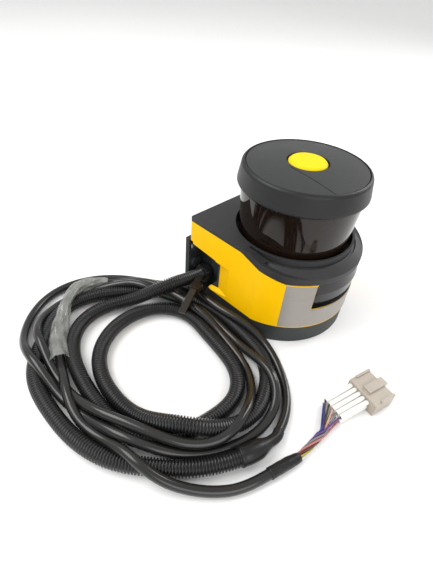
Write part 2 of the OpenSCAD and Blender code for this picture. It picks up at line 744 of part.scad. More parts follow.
// Ring of strap round the bundle, crossing it at the tie
tie_at = [-67, 30];
tie_turn = 16;
tie_w = 4.8;
tie_t = 1.2;
tie_half = [11.5, 8.6];
module tie_ring(grow = 0) {
    translate([tie_at.x, tie_at.y, 0]) rotate([0, 0, tie_turn]) rotate([90, 0, 0])
        translate([0, tie_half.y + tie_t, -tie_w / 2 - grow]) difference() {
            tie_outline(tie_t, tie_w + 2 * grow);
            translate([0, 0, -1]) tie_outline(0, tie_w + 2 * grow + 2);
        }
}

module tie_outline(t, h) {
    r = 6 + t;
    linear_extrude(h) union() {
        square([2 * (tie_half.x + t - r), 2 * (tie_half.y + t)], center = true);
        square([2 * (tie_half.x + t), 2 * (tie_half.y + t - r)], center = true);
        for (a = [-1, 1], b = [-1, 1]) translate([a * (tie_half.x + t - r), b * (tie_half.y + t - r)]) circle(r = r, $fn = 48);
    }
}

tie_top = 2 * (tie_half.y + tie_t);
module cable_tie() {
    color([0.1, 0.09, 0.08]) {
        tie_ring();
        // Locking head on top, and the free end of the strap
        translate([tie_at.x, tie_at.y, tie_top]) rotate([0, 0, tie_turn]) difference() {
            translate([1, -4, -0.4]) cube([6.5, 8, 4.6]);
            translate([0, -tie_w / 2, 1.6]) cube([9, tie_w, 1.5]);
        }
        translate([tie_at.x, tie_at.y, tie_top]) rotate([0, 0, tie_turn]) translate([1, 0, 1.8])
            rotate([0, 0, 12]) rotate([0, -6, 0]) translate([-24, -tie_w / 2, 0]) cube([38, tie_w, tie_t]);
    }
}

cuff_from = [-119, -78, 6.6];
cuff_to = [-105, -84.5, 5.8];
cuff_r = 5.8;
module conduit_cuff() {
    color([0.05, 0.05, 0.05]) swept([cuff_from, (cuff_from * 2 + cuff_to) / 3, (cuff_from + cuff_to * 2) / 3, cuff_to], [cuff_r, cuff_r, cuff_r - 0.6, cuff_r - 1.4]);
}

module clear_sleeve() {
    color([0.7, 0.72, 0.72]) swept(sleeve_route, sleeve_r);
}

module cable_coil() {
    color([0.1, 0.1, 0.1]) difference() {
        hull() for (p = coil_outer) translate([p.x, p.y, 0]) cylinder(r = coil_outer_r, h = p.z, $fn = 24);
        translate([0, 0, -1]) hull() for (p = coil_inner) translate([p.x, p.y, 0]) cylinder(r = coil_inner_r, h = 40, $fn = 32);
        tie_ring();
        conduit_cuff();
        clear_sleeve();
        swept(tail_route, cable_d / 2);
        swept(lead_route, conduit_d / 2);
    }
}

module conduit_lead() {
    color([0.1, 0.1, 0.1]) swept(lead_route, conduit_d / 2);
}

module cable_tail() {
    color([0.12, 0.12, 0.12]) swept(tail_route, cable_d / 2);
}

tail_end = tail_route[len(tail_route) - 1];
shrink_end = [-101, -98, 3.6];
sleeve_start = tail_end + 0.4 * unit(shrink_end - tail_end);
module tail_sleeve() {
    color([0.07, 0.07, 0.07]) swept([sleeve_start, (tail_end * 3 + shrink_end) / 4, (tail_end + shrink_end) / 2, (tail_end + shrink_end * 3) / 4, shrink_end], [3.6, 3.6, 3.6, 3.3, 2.9]);
}

// Plug at the cable's end, lying flat: mouth axis u, width axis w
plug_at = [-41, -101.5, 0];
plug_turn = -14;
plug_w = 23;
plug_l = 17;
plug_h = 10;
plug_pitch = 3.5;
plug_cols = 6;
plug_rows = [2.9, 7.1];
marker_r = 1.55;
marker_len = 22;
wire_r = 0.55;
core_pitch = 1.3;
core_gap = 0.4;
function plug_point(u, w, z) = [plug_at.x + u * cos(plug_turn) - w * sin(plug_turn), plug_at.y + u * sin(plug_turn) + w * cos(plug_turn), z];
function marker_start(i, j) = plug_point(-marker_len - 0.5, (i - 2) * plug_pitch * 0.95 + 2, plug_rows[j] * 0.95 - 1 + 0.2 * j);
function marker_end(i, j) = plug_point(-0.1, (i - 2) * plug_pitch + 1.75, plug_rows[j]);
function wire_end(i, j) = marker_start(i, j) - core_gap * [cos(plug_turn), sin(plug_turn), 0];
// Cores leave the sleeve in two rows and fan out to their markers
function core_point(i, j, s) = shrink_end + [s, (i - 2) * core_pitch, (j - 0.5) * core_pitch];

module tail_wires() {
    color([0.5, 0.3, 0.5]) for (i = [0 : 4], j = [0, 1]) let(a = core_point(i, j, 1.2), m = core_point(i, j, 6), e = wire_end(i, j))
        swept([a, m, m * 0.72 + e * 0.28, m * 0.4 + e * 0.6, m * 0.12 + e * 0.88, e], wire_r, 8);
}

module wire_markers() {
    color([0.95, 0.95, 0.93]) for (i = [0 : 4], j = [0, 1]) swept([marker_start(i, j), marker_end(i, j)], marker_r, 12);
}

module tail_connector() {
    color([0.85, 0.82, 0.76]) translate(plug_at) rotate([0, 0, plug_turn]) difference() {
        union() {
            translate([0, -plug_w / 2, 0]) cube([plug_l, plug_w, plug_h]);
            // Latch arm and its rails
            translate([3, -3, plug_h]) cube([plug_l - 1, 6, 1.6]);
            for (y = [-plug_w / 2, plug_w / 2 - 1.6]) translate([5, y, plug_h]) cube([plug_l - 5, 1.6, 1.2]);
        }
        for (i = [0 : plug_cols - 1], z = plug_rows) translate([plug_l - 12, (i - (plug_cols - 1) / 2) * plug_pitch, z])
            translate([0, -1.2, -1.2]) cube([13, 2.4, 2.4]);
        translate([5, -2, plug_h - 0.1]) cube([6, 4, 0.9]);
    }
}

module connector_contacts() {
    color([0.8, 0.7, 0.4]) translate(plug_at) rotate([0, 0, plug_turn])
        for (i = [0 : plug_cols - 1], z = plug_rows) translate([plug_l - 12, (i - (plug_cols - 1) / 2) * plug_pitch, z])
            difference() {
                translate([0, -0.9, -0.9]) cube([9, 1.8, 1.8]);
                translate([2, -0.6, -0.6]) cube([8, 1.2, 1.2]);
            }
}

lower_housing();
housing_shell();
front_label();
rear_cover();
front_collar();
indicator_band();
display_strip();
optics_cover();
optics_seal();
cap();
cap_plate();
cap_button();
optics_frame();
frame_screws();
motor_housing();
motor_shaft();
rotor_hub();
encoder_disc();
encoder_reader();
mirror_carrier();
scan_mirror();
receiver_lens();
lens_barrel();
detector_board();
main_board();
board_connectors();
pocket_liner();
connection_block();
connection_plate();
plate_screws();
base_screws();
cable_gland();
gland_nut();
cable_tie();
cable_coil();
clear_sleeve();
conduit_lead();
conduit_cuff();
cable_tail();
tail_sleeve();
tail_wires();
wire_markers();
tail_connector();
connector_contacts();
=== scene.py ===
"""Compact safety laser scanner with its tied cable coil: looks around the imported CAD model.
Everything is in metres, in the CAD frame: +Z up, front towards -Y, origin on the standing face."""
import math
import random

import bpy
import numpy as np
from mathutils import Matrix, Vector


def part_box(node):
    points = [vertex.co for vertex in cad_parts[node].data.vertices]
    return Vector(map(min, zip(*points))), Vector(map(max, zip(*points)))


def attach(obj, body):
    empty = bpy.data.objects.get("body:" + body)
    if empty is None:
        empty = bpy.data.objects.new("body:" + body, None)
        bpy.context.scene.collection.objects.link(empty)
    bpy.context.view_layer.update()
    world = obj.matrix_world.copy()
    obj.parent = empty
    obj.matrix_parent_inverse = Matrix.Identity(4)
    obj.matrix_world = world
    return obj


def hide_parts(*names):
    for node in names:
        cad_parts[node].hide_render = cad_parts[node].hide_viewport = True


MM = 0.001
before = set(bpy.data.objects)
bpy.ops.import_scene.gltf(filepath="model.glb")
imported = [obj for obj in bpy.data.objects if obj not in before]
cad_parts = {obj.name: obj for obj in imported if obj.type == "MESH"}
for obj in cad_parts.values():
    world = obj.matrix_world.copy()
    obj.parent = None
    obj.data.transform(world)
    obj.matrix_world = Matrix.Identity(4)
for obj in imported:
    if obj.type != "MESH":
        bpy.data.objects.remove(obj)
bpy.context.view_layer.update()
scene = bpy.context.scene
random.seed(7)

# ---- Camera ----
CAM_AT = Vector((-219.2, -130.3, 221.8)) * MM
CAM_RIGHT = Vector((0.7111, -0.6997, 0.0677))
CAM_UP = Vector((0.4317, 0.5106, 0.7435))
FOCAL_PX = 403.2
FRAME_H_PX = 577
SENSOR = 36.0


def make_camera():
    data = bpy.data.cameras.new("camera")
    data.sensor_fit = "AUTO"
    data.sensor_width = SENSOR
    data.lens = FOCAL_PX * SENSOR / FRAME_H_PX
    data.clip_start, data.clip_end = 0.01, 20.0
    cam = bpy.data.objects.new("camera", data)
    x = CAM_RIGHT.normalized()
    z = x.cross(CAM_UP).normalized()
    y = z.cross(x)
    turn = Matrix((x, y, z)).transposed().to_4x4()
    cam.matrix_world = Matrix.Translation(CAM_AT) @ turn
    scene.collection.objects.link(cam)
    scene.camera = cam


make_camera()

# ---- Route of the cable, millimetres ----
# Way points listed from where the strands cross the floor in the picture. settle() then lets the
# strands rest on each other, on the floor and against the housing.
CONDUIT_WAY = (
    (-40, 43, 18), (-47, 43, 18), (-54, 43, 18.7), (-63, 44.5, 20.2), (-75, 50, 18.5), (-88, 58, 13),
    (-103, 68, 7), (-119, 75, 5), (-138, 71, 5), (-153, 58, 5), (-163, 40, 5), (-169, 18, 5), (-171, -2, 5),
    (-167, -22, 5), (-156, -42, 5), (-140, -56, 5), (-124, -61, 5), (-110, -61, 5), (-98, -57, 5),
    (-88, -49, 5), (-82, -34, 5), (-79, -15, 5), (-76, 5, 5), (-73.5, 18, 5.5), (-72.5, 30, 6.5),
    (-76, 40, 6), (-84, 48, 5), (-95, 52.5, 5), (-108, 54, 5), (-122, 52.5, 5), (-137, 46, 5),
    (-149, 36, 5), (-157.5, 24, 5), (-162, 10, 5), (-163, -5, 5), (-160, -20, 6), (-151, -36, 9),
    (-136, -50, 13), (-118, -60, 13), (-98, -66, 8), (-82, -63, 5), (-69, -50, 5), (-61, -31, 5),
    (-57.5, -10, 5), (-57.5, 8, 5), (-59.5, 19, 5.5), (-61.5, 30, 6.5), (-65, 43, 5.5), (-74, 60, 5),
    (-88, 77, 5), (-103, 88, 5), (-118, 92, 5), (-134, 91.5, 5), (-150, 86, 5), (-163, 75, 5),
    (-174, 58, 5), (-181, 40, 5), (-184.5, 24, 5), (-185.5, 5, 5), (-184, -8, 5), (-180, -22, 5),
    (-171, -38, 5), (-160, -53, 5), (-147, -64, 5), (-133, -73, 5), (-118, -78, 5.5),
)
CABLE_WAY = (
    (-105, -84.5, 5), (-94, -81.5, 3), (-83, -76, 3), (-73, -67, 3.5), (-64, -54, 5), (-57, -38, 8),
    (-55.5, -22, 11), (-57, -5, 13), (-59, 10, 13.5), (-60, 22, 14), (-60.5, 30, 14.2), (-63, 42, 13),
    (-68, 60, 10.5), (-76, 77, 8), (-88, 93, 6), (-103, 105.5, 5), (-120, 113, 4), (-138, 113, 4),
    (-155, 105, 4), (-169, 92, 5), (-178, 74, 7), (-181, 55, 10), (-181, 36, 12.5), (-178, 18, 13),
    (-174, 0, 13), (-168, -18, 12), (-158, -38, 11), (-145, -54, 11), (-128, -66, 11), (-111, -72, 10),
    (-95, -73, 8), (-81, -67, 8), (-71, -56, 10), (-64.5, -41, 12), (-62, -24, 13), (-63, -5, 13),
    (-65, 12, 13.5), (-66.5, 22, 14.5), (-67, 30, 15.3), (-70, 42, 13.5), (-77, 58, 11), (-88, 75, 11),
    (-101, 90, 11.5), (-117, 99, 9), (-134, 101, 5), (-150, 95, 6), (-163, 84, 9), (-171, 70, 11.5),
    (-174, 52, 12), (-174, 34, 12), (-172, 14, 12), (-168, -6, 12), (-163, -22, 12), (-154, -38, 11),
    (-142, -51, 10), (-128, -60, 10), (-114, -65, 12), (-100, -64, 14), (-88, -57, 13), (-79, -45, 12),
    (-74, -32, 11), (-71.5, -15, 11), (-72, 5, 12), (-72.5, 18, 13.5), (-73.5, 30, 14.2), (-75, 42, 13.5),
    (-80, 58, 13.5), (-88, 76, 14.5), (-98, 91, 15), (-111, 99, 15), (-125, 98, 15), (-139, 91, 15.5),
    (-152, 80, 15.5), (-162, 66, 15), (-168, 50, 14.5), (-171, 36, 15), (-173, 20, 16), (-174.5, 4, 15.5),
    (-174.5, -12, 14), (-172.5, -27, 12), (-168.5, -41, 8.5), (-163, -54, 5), (-157, -67, 3.2),
    (-150, -78, 3), (-143, -85, 3), (-137, -88.3, 3), (-130, -90.4, 3), (-123, -92, 3.3), (-115, -94, 3.6),
)
BOOT_WAY = (CONDUIT_WAY[-1], CABLE_WAY[0])
BOOT_RADII = (5.2, 4.4)
THICK, THIN = 5.0, 3.0  # radii of the conduit and of the sheathed cable

SPACING = 5.0  # between the settled points along the cable
ROUNDS, POLISH_ROUNDS = 1500, 60
HELD_START, HELD_END = 3, 8  # points that stay where the gland and the cable's end hold them
LEAD_POINTS = 12  # the first points lie in the pocket, where the housing doesn't push them away
NEAR_ROUNDS, NEAR_MARGIN = 4, 12.0  # how often, and how widely, strands that may touch are looked up
TOUCH, POLISH_TOUCH = 0.15, 0.1  # air that is kept between strands
SAME_STRAND = 7  # points this close along the cable don't push each other
BEND_DIAMETERS = 3.6  # the tightest bend, as a radius in diameters
SINK = 0.05  # how far each round lets the strands drop

SIDE_WALL = -51.0
BACK_END, FRONT_START, ABOVE_HOUSING = 57, -14, 60
POCKET_Y, POCKET_Z = (30, 50), 8
FRONT_CENTRE_Y, FRONT_R = 0.5, 53.0
HOUSING_AIR = 0.4

TIE_AT = np.array([-67.0, 30.0])
TIE_TURN = np.radians(16)
TIE_ACROSS = np.array([np.cos(TIE_TURN), np.sin(TIE_TURN)])
TIE_ALONG = np.array([-np.sin(TIE_TURN), np.cos(TIE_TURN)])
TIE_REACH = (22, 5)  # sideways and along the bundle
TIE_TOP, TIE_LEFT_END = 22, -95
TIE_HALF_W = 11.3
TIE_FLOOR, TIE_CEILING = 1.4, 18.4


def spaced(line, count):
    """The same line with count + 1 points at even distances."""
    reach = np.r_[0, np.cumsum(np.linalg.norm(np.diff(line, axis=0), axis=1))]
    at = np.linspace(0, reach[-1], count + 1)
    return np.column_stack([np.interp(at, reach, line[:, k]) for k in range(3)])


def count_for(line, spacing):
    length = np.cumsum(np.linalg.norm(np.diff(line, axis=0), axis=1))[-1]
    return int(round(length / spacing))


def way_line(way, parts=40):
    """Catmull-Rom line through the way points."""
    p = np.array(way, float)
    q = np.vstack([2 * p[0] - p[1], p, 2 * p[-1] - p[-2]])
    t = np.linspace(0, 1, parts, endpoint=False)[:, None]
    out = []
    for i in range(1, len(q) - 2):
        a, b, c, d = q[i - 1 : i + 3]
        out.append(0.5 * ((2 * b) + (-a + c) * t + (2 * a - 5 * b + 4 * c - d) * t ** 2
                          + (-a + 3 * b - 3 * c + d) * t ** 3))
    fine = np.vstack(out + [q[-2:-1]])
    return spaced(fine, count_for(fine, SPACING))


def sag(x):
    """How far each point lies off the middle of its neighbours."""
    out = np.zeros_like(x)
    out[1:-1] = (x[:-2] + x[2:]) / 2 - x[1:-1]
    return out


def stiffen(x, r, free):
    """Even out the curve, and open bends that are tighter than the cable allows."""
    even = np.zeros_like(x)
    even[2:-2] = (-x[:-4] + 4 * x[1:-3] + 4 * x[3:-1] - x[4:]) / 6 - x[2:-2]
    x = x + 0.6 * np.where(free, even, 0)
    off = sag(x)
    size = np.linalg.norm(off, axis=1)
    limit = SPACING ** 2 / (2 * BEND_DIAMETERS * 2 * r)
    excess = np.where(size > limit, (1 - limit / np.maximum(size, 1e-9)), 0)
    return x + 0.5 * np.where(free, off * excess[:, None], 0)


def off_housing(x, r):
    y = x.copy()
    beside = (x[:, 1] > FRONT_START) & (x[:, 1] < BACK_END) & (x[:, 2] < ABOVE_HOUSING)
    limit = SIDE_WALL - r - HOUSING_AIR
    in_pocket = (x[:, 1] > POCKET_Y[0]) & (x[:, 1] < POCKET_Y[1]) & (x[:, 2] > POCKET_Z)
    beside &= ~in_pocket
    y[:, 0] = np.where(beside & (x[:, 0] > limit), limit, y[:, 0])
    reach = np.hypot(x[:, 0], x[:, 1] - FRONT_CENTRE_Y)
    need = FRONT_R + r + HOUSING_AIR
    k = (x[:, 1] <= FRONT_START) & (reach < need)
    y[k, 0] *= need[k] / reach[k]
    y[k, 1] = FRONT_CENTRE_Y + (x[k, 1] - FRONT_CENTRE_Y) * need[k] / reach[k]
    return y


def in_tie(x, r):
    """Strands that run through the cable tie stay within its loop."""
    off = x[:, :2] - TIE_AT
    across, along = off @ TIE_ACROSS, off @ TIE_ALONG
    held = ((np.abs(along) < TIE_REACH[1]) & (np.abs(across) < TIE_REACH[0])
            & (x[:, 2] < TIE_TOP) & (x[:, 0] > TIE_LEFT_END))
    half = TIE_HALF_W - r
    kept = np.where(held, np.clip(across, -half, half), across)
    y = x.copy()
    y[:, :2] += (kept - across)[:, None] * TIE_ACROSS
    y[:, 2] = np.where(held, np.clip(y[:, 2], TIE_FLOOR + r, TIE_CEILING - r), y[:, 2])
    return y


def apart(x, r, free, pairs, air, share):
    """Push strands apart that press into each other."""
    one, two = pairs
    gap = x[one] - x[two]
    far = np.linalg.norm(gap, axis=1) + 1e-9
    need = r[one] + r[two] + air
    close = far < need
    if not close.any():
        return x
    a, b = one[close], two[close]
    push = gap[close] * ((need[close] - far[close]) / far[close] * 0.5)[:, None]
    total, count = np.zeros_like(x), np.zeros(len(x))
    np.add.at(total, a, push)
    np.add.at(total, b, -push)
    np.add.at(count, a, 1)
    np.add.at(count, b, 1)
    return x + np.where(free, total / np.maximum(count, 1)[:, None] * share, 0)


def near_pairs(x, r, pairs):
    one, two = pairs
    near = np.linalg.norm(x[one] - x[two], axis=1) < r[one] + r[two] + NEAR_MARGIN
    return one[near], two[near]


def on_floor(x, r, free):
    x[:, 2] = np.where(free[:, 0], np.maximum(x[:, 2], r), x[:, 2])


def settle():
    """Route of the conduit and of the sheathed cable, resting as a heap of stiff strands."""
    conduit, cable = way_line(CONDUIT_WAY), way_line(CABLE_WAY)
    ends = np.array(BOOT_WAY)
    boot = ends[0] + (ends[1] - ends[0]) * np.linspace(0, 1, 4)[1:-1, None]
    x = np.vstack([conduit, boot, cable])
    r = np.r_[np.full(len(conduit), THICK), BOOT_RADII, np.full(len(cable), THIN)]
    n, last = len(x), len(conduit) - 1
    aim = x.copy()
    free = np.ones((n, 1), bool)
    free[:HELD_START] = False
    free[-HELD_END:] = False
    lead = (np.arange(n) < LEAD_POINTS)[:, None]
    strands = ((0, last), (last + 3, n - 1))
    all_pairs = np.triu_indices(n, k=SAME_STRAND)
    for turn in range(ROUNDS):
        if turn % NEAR_ROUNDS == 0:
            pairs = near_pairs(x, r, all_pairs)
        x = stiffen(x, r, free)
        pull = aim - x
        pull[:, 2] *= 0.15
        x = x + (0.02 * (1 - turn / ROUNDS) + 0.004) * np.where(free, pull, 0)
        x[:, 2] -= np.where(free[:, 0], SINK, 0)
        for _ in range(3):
            x = apart(x, r, free, pairs, TOUCH, 1.0)
            on_floor(x, r, free)
            y = np.where(~free | lead, x, off_housing(x, r))
            x = np.where(free, in_tie(y, r), y)
        if turn % 10 == 9:
            for a, b in strands:
                even = spaced(x[a : b + 1], b - a)
                x[a : b + 1] = np.where(free[a : b + 1], even, x[a : b + 1])
    pairs = near_pairs(x, r, all_pairs)
    for _ in range(POLISH_ROUNDS):
        x = x - 0.5 * np.where(free, sag(sag(x)), 0)
        x = apart(x, r, free, pairs, POLISH_TOUCH, 0.5)
        on_floor(x, r, free)
    return x[: last + 1], x[last + 3 :]


def route(strand, spacing):
    """A settled strand, smoothed and thinned out to tenths of a millimetre."""
    line = strand.copy()
    for _ in range(7):
        line[1:-1] = 0.5 * line[1:-1] + 0.25 * (line[:-2] + line[2:])
    thinned = np.round(spaced(line, count_for(line, spacing)), 1)
    return [Vector(p) * MM for p in thinned.tolist()]


settled_conduit, settled_cable = settle()
CONDUIT, CABLE = route(settled_conduit, 10), route(settled_cable, 9)
CONDUIT_R, CABLE_R = THICK * MM, THIN * MM


def smooth_line(points, step):
    """Catmull-Rom line through the points, at even steps."""
    p = [Vector(q) for q in points]
    p = [2 * p[0] - p[1]] + p + [2 * p[-1] - p[-2]]
    fine = []
    for i in range(1, len(p) - 2):
        a, b, c, d = p[i - 1 : i + 3]
        for k in range(12):
            t = k / 12
            fine.append(0.5 * (2 * b + (c - a) * t + (2 * a - 5 * b + 4 * c - d) * t * t
                               + (3 * b - a - 3 * c + d) * t ** 3))
    fine.append(p[-2])
    return even_line(fine, step)


def even_line(fine, step):
    reach = [0.0]
    for a, b in zip(fine, fine[1:]):
        reach.append(reach[-1] + (b - a).length)
    count = max(2, round(reach[-1] / step))
    out, k = [], 0
    for i in range(count + 1):
        s = reach[-1] * i / count
        while k < len(fine) - 2 and reach[k + 1] < s:
            k += 1
        span = reach[k + 1] - reach[k] or 1.0
        out.append(fine[k].lerp(fine[k + 1], (s - reach[k]) / span))
    return out


def line_length(points):
    return sum((b - a).length for a, b in zip(points, points[1:]))


def frames(points):
    """Point, side and up along a line, turned as little as possible."""
    side = None
    out = []
    for i, p in enumerate(points):
        t = (points[min(i + 1, len(points) - 1)] - points[max(i - 1, 0)]).normalized()
        if side is None:
            side = t.cross(Vector((0, 0, 1))).normalized()
        side = (side - side.dot(t) * t).normalized()
        out.append((p, side, side.cross(t)))
    return out


def mesh_piece(name, verts, faces, smooth=True):
    mesh = bpy.data.meshes.new(name)
    mesh.from_pydata([tuple(v) for v in verts], [], faces)
    mesh.validate()
    mesh.update()
    if smooth:
        mesh.polygons.foreach_set("use_smooth", [True] * len(mesh.polygons))
    piece = bpy.data.objects.new(name, mesh)
    scene.collection.objects.link(piece)
    return piece


def sweep(name, points, radius, sides=20, smooth=True, inner=None):
    """Tube round a line; radius(i, angle) gives its surface. With inner it is hollow."""
    n = len(points)
    verts, faces = [], []
    rows = frames(points)
    for shell in ([radius] if inner is None else [radius, inner]):
        base = len(verts)
        for i, (p, s, u) in enumerate(rows):
            for k in range(sides):
                a = 2 * math.pi * k / sides
                verts.append(p + shell(i, a) * (math.cos(a) * s + math.sin(a) * u))
        flip = base > 0
        for i in range(n - 1):
            for k in range(sides):
                a, b = base + i * sides + k, base + i * sides + (k + 1) % sides
                quad = (a, b, b + sides, a + sides)
                faces.append(quad[::-1] if flip else quad)
    if inner is None:
        faces.append(tuple(range(sides))[::-1])
        faces.append(tuple(range((n - 1) * sides, n * sides)))
    else:
        far = n * sides
        for row in (0, (n - 1) * sides):
            for k in range(sides):
                a, b = row + k, row + (k + 1) % sides
                quad = (a, a + far, b + far, b)
                faces.append(quad if row == 0 else quad[::-1])
    return mesh_piece(name, verts, faces, smooth)


# ---- Conduit: corrugated tube from the gland to its boot ----
RIB_PITCH = 1.75 * MM
RIB_DEPTH = 1.05 * MM
RIB_STEPS = ((0.0, 0.0), (0.42, 0.0), (0.56, 1.0), (0.86, 1.0))


def make_conduit():
    line = smooth_line(CONDUIT, 0.8 * MM)
    fine = even_line(line, RIB_PITCH / 8)
    ribs = int(line_length(fine) / RIB_PITCH)
    points, depth = [], []
    for i in range(ribs):
        for at, low in RIB_STEPS:
            points.append(fine[min(len(fine) - 1, round((i + at) * 8))])
            depth.append(low * RIB_DEPTH)
    piece = sweep("conduit", points, lambda i, a: CONDUIT_R - depth[i], sides=16)
    return piece, even_line(points, 4 * MM)


conduit, conduit_line = make_conduit()
cable_line = smooth_line(CABLE, 3.0 * MM)
cable = sweep("sheathed_cable", cable_line, lambda i, a: CABLE_R)

# ---- Boot: shrunk tube over the conduit's end and the sheathed cable ----
BOOT_R, BOOT_NECK_R, BOOT_LIP = 5.75, 3.35, 0.35
BOOT_TAPER_START, BOOT_TAPER = 0.35, 0.35  # as parts of its length
BOOT_LIP_AT = 0.03
BOOT_LIFT = Vector((0, 0, 0.9 * MM))
boot_ends = [conduit_line[-3] + BOOT_LIFT, conduit_line[-1] + BOOT_LIFT, cable_line[0], cable_line[2]]
boot_line = smooth_line(boot_ends, 0.8 * MM)


def boot_radius(i, a):
    t = i / (len(boot_line) - 1)
    taper = min(1.0, max(0.0, (t - BOOT_TAPER_START) / BOOT_TAPER))
    taper = taper * taper * (3 - 2 * taper)
    lip = BOOT_LIP * math.exp(-(((t - BOOT_LIP_AT) / BOOT_LIP_AT) ** 2))
    return (BOOT_R + lip + (BOOT_NECK_R - BOOT_R) * taper) * MM


boot = sweep("conduit_boot", boot_line, boot_radius, sides=28)

# ---- Cable's end: sleeve, cores, markers ----
TAIL_END = Vector((-115, -94, 3.6)) * MM
SHRINK_END = Vector((-101, -98, 3.6)) * MM
PLUG_AT = Vector((-41, -101.5, 0)) * MM
PLUG_TURN = math.radians(-14)
PLUG_PITCH = 3.5 * MM
ROWS = (2.9 * MM, 7.1 * MM)
MARKER_LEN = 22 * MM
MARKER_R = 1.55 * MM
CORE_R = 0.62 * MM


def plug_point(u, w, z):
    c, s = math.cos(PLUG_TURN), math.sin(PLUG_TURN)
    return Vector((PLUG_AT.x + u * c - w * s, PLUG_AT.y + u * s + w * c, z))


def marker_start(i, j):
    across = (i - 2) * PLUG_PITCH * 0.95 + 2 * MM
    return plug_point(-MARKER_LEN - 0.5 * MM, across, ROWS[j] * 0.95 - 1 * MM + 0.2 * MM * j)


def marker_end(i, j):
    return plug_point(-0.1 * MM, (i - 2) * PLUG_PITCH + 1.75 * MM, ROWS[j])


sleeve_ends = [cable_line[-3], TAIL_END, TAIL_END.lerp(SHRINK_END, 0.5), SHRINK_END]
sleeve_line = smooth_line(sleeve_ends, 0.7 * MM)


def sleeve_radius(i, a):
    t = i / (len(sleeve_line) - 1)
    fold = 0.06 * math.sin(3 * a + 9 * t) + 0.05 * math.sin(23 * t)
    return (3.45 + fold - 0.75 * max(0.0, (t - 0.55) / 0.45) ** 2) * MM


tail_sleeve = sweep("shrink_sleeve", sleeve_line, sleeve_radius, sides=28)
CORE_COLOURS = [(176, 112, 112), (84, 52, 44), (158, 146, 60), (206, 204, 198), (44, 62, 140),
                (96, 66, 118), (120, 118, 116), (196, 150, 150), (58, 62, 44), (60, 44, 84)]


CORES, PER_ROW = len(CORE_COLOURS), 5
OUTER_CORES, OUTER_RING, INNER_RING = 7, 1.9, 0.75  # seven cores round three
TWIST, TWIST_LEN = 3.4, 23  # radians, and millimetres of the twisted stretch
LOWEST_CORE = -2.6


def core_line(k):
    """A core twists with the others out of the sleeve, then fans out to its marker."""
    i, j = k % PER_ROW, k // PER_ROW
    out = []
    inner = CORES - OUTER_CORES
    if k < OUTER_CORES:
        ring, start = OUTER_RING, k * 2 * math.pi / OUTER_CORES
    else:
        ring, start = INNER_RING, (k - OUTER_CORES) * 2 * math.pi / inner
    for step in range(9):
        s = step / 8
        turn = start + TWIST * s
        wide = ring * (1 - 0.12 * math.sin(math.pi * s))
        along = SHRINK_END + Vector((-1.0 + TWIST_LEN * s, -0.6 * s, 0.1 * s)) * MM
        lift = max(LOWEST_CORE, wide * math.sin(turn))
        out.append(along + Vector((0, wide * math.cos(turn), lift)) * MM)
    a, b = out[-1], marker_start(i, j)
    reach = (marker_end(i, j) - b).normalized()
    for s in (0.3, 0.62, 0.88):
        out.append(a.lerp(b, s) + Vector((0, 0, 0.25 * MM * math.sin(math.pi * s))))
    out += [b + reach * 0.5 * MM, b + reach * 3 * MM]
    return smooth_line(out, 0.8 * MM)


def make_marker(k):
    """White tube with a slight oval to it."""
    i, j = k % PER_ROW, k // PER_ROW
    line = even_line([marker_start(i, j), marker_end(i, j)], 1.1 * MM)
    squash = 0.05 * random.random()
    tilt = random.random() * math.pi

    def outer(i, a):
        return MARKER_R * (1 - squash * math.cos(2 * (a - tilt)))

    return sweep(f"marker_{k}", line, outer, sides=20, inner=lambda i, a: MARKER_R * 0.78)


cores = [sweep(f"core_{k}", core_line(k), lambda i, a: CORE_R, sides=14) for k in range(CORES)]
markers = [make_marker(k) for k in range(CORES)]

# ---- Clear film sleeve round one strand ----
FILM_FROM, FILM_TO = Vector((-101, 92, 15)) * MM, Vector((-170, 46, 14)) * MM
FILM_R = [3.9, 4.9, 4.6, 3.6, 4.9, 6.6, 7.2, 7.4]
FILM_KNOT = 3.0  # place of the knot in that list
FILM_SKIN = 0.12
late = range(len(cable_line) * 3 // 5, len(cable_line))
film_a = min(late, key=lambda i: (cable_line[i] - FILM_FROM).length)
film_b = min(late, key=lambda i: (cable_line[i] - FILM_TO).length)
FILM_LIFT = Vector((0, 0, 0.8 * MM))
film_way = [cable_line[i] + FILM_LIFT for i in range(film_a, film_b + 1, 2)]
film_line = smooth_line(film_way, 1.0 * MM)


def film_radius(i, a):
    t = i / (len(film_line) - 1) * (len(FILM_R) - 1)
    k = min(int(t), len(FILM_R) - 2)
    r = FILM_R[k] + (FILM_R[k + 1] - FILM_R[k]) * (t - k)
    crease = 0.5 * math.sin(5 * a + 1.7 * t) * math.cos(2.3 * t + a) + 0.3 * math.sin(9 * a - 3.1 * t)
    knot = math.exp(-(((t - FILM_KNOT) / 0.5) ** 2))
    return (r + crease * (1 - 0.5 * knot) + 0.25 * knot * math.sin(11 * a)) * MM


def above_floor(z, rest):
    """Film that would reach the floor lies flat on it, inner skin still above the outer one."""
    return z if z > rest else 0.1 * MM + (rest - 0.1 * MM) * math.exp((z - rest) / (rest - 0.1 * MM))


film = sweep("film_sleeve", film_line, film_radius, sides=44,
             inner=lambda i, a: film_radius(i, a) - FILM_SKIN * MM)
for vert in film.data.vertices:
    vert.co.z = above_floor(vert.co.z, 1.5 * MM)

# ---- Dark sheet on the floor of the display's notch: painted shade for the recess ----
AXIS_Y = -1.5 * MM
HALF_W = Vector(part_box("housing_shell")[1]).x
SHADE_SHEET_Z = Vector(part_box("display_strip")[0]).z - 0.2 * MM
SHADE_SHEET_T = 0.16 * MM
NOTCH_FROM, NOTCH_TO = -30.6, 51.4  # degrees from the front centre


